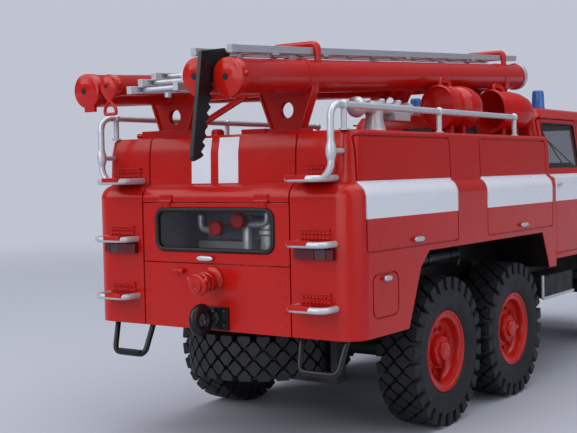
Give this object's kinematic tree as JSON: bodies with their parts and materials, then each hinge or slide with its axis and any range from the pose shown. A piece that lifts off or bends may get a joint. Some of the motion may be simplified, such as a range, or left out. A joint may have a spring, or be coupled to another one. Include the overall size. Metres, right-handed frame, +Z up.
{
  "type": "scale model of a water tanker fire truck",
  "caption": "Shelf-size six-wheel-drive fire tanker model with crew cab, tank body, roof hose tubes, ladders and rolling axle sets.",
  "frame": {"origin": "on the ground under the centre of the overall box", "axes": "+X forward, +Y to the truck's left, +Z up"},
  "size_m": [0.181, 0.062, 0.07],
  "materials": {
    "gloss_red_paint": "gloss red enamel",
    "bright_red_plastic": "moulded bright red",
    "black_plastic": "satin black",
    "silver_paint": "silver paint",
    "grey_plastic": "satin grey",
    "clear_glazing": "clear",
    "window_rubber": "satin black rubber",
    "tyre_rubber": "matt",
    "lamp_red": "clear dark red",
    "beacon_blue": "clear blue",
    "lamp_clear": "clear",
    "axle_steel": "bright steel"
  },
  "bodies": {
    "truck": {"air_cylinder": "black_plastic", "axle_cases": "black_plastic", "beacons": "beacon_blue", "bonnet": "gloss_red_paint", "bumper": "black_plastic", "cab_glass": "clear_glazing", "cab_interior": "grey_plastic", "cab_shell": "gloss_red_paint", "corner_steps": "gloss_red_paint", "crossmembers": "black_plastic", "door_handles": "silver_paint", "driveline": "black_plastic", "extension_ladder": "silver_paint", "foam_generators": "bright_red_plastic", "frame_rails": "black_plastic", "front_wings": "gloss_red_paint", "grille": "grey_plastic", "handrails": "silver_paint", "headlamps": "lamp_clear", "hook_ladder": "grey_plastic", "hose_tubes": "gloss_red_paint", "ladder_hook": "black_plastic", "ladder_hoops": "bright_red_plastic", "leaf_springs": "black_plastic", "mirrors": "black_plastic", "monitor": "silver_paint", "pump": "silver_paint", "pump_caps": "bright_red_plastic", "rear_flap": "gloss_red_paint", "rear_window_pane": "clear_glazing", "rear_window_rubber": "window_rubber", "spare_cradle": "black_plastic", "spare_rim": "gloss_red_paint", "spare_tyre": "tyre_rubber", "step_boxes": "black_plastic", "step_rims": "silver_paint", "stirrups": "black_plastic", "suction_inlet": "bright_red_plastic", "tail_lamps": "lamp_red", "tank_body": "gloss_red_paint", "towing_eye": "black_plastic", "tube_brackets": "gloss_red_paint", "tube_lids": "bright_red_plastic"},
    "front_axle": {"front_axle_pin": "axle_steel", "front_rims": "gloss_red_paint", "front_tyres": "tyre_rubber"},
    "middle_axle": {"middle_axle_pin": "axle_steel", "middle_rims": "gloss_red_paint", "middle_tyres": "tyre_rubber"},
    "rear_axle": {"rear_axle_pin": "axle_steel", "rear_rims": "gloss_red_paint", "rear_tyres": "tyre_rubber"}
  },
  "joints": [
    {"name": "front_axle_roll", "type": "hinge", "parent": "truck", "child": "front_axle", "pos_m": [0.06549, 0, 0.01305], "axis": [0, 1, 0], "continuous": true},
    {"name": "middle_axle_roll", "type": "hinge", "parent": "truck", "child": "middle_axle", "pos_m": [-0.01242, 0, 0.01305], "axis": [0, 1, 0], "continuous": true},
    {"name": "rear_axle_roll", "type": "hinge", "parent": "truck", "child": "rear_axle", "pos_m": [-0.04149, 0, 0.01305], "axis": [0, 1, 0], "continuous": true}
  ]
}
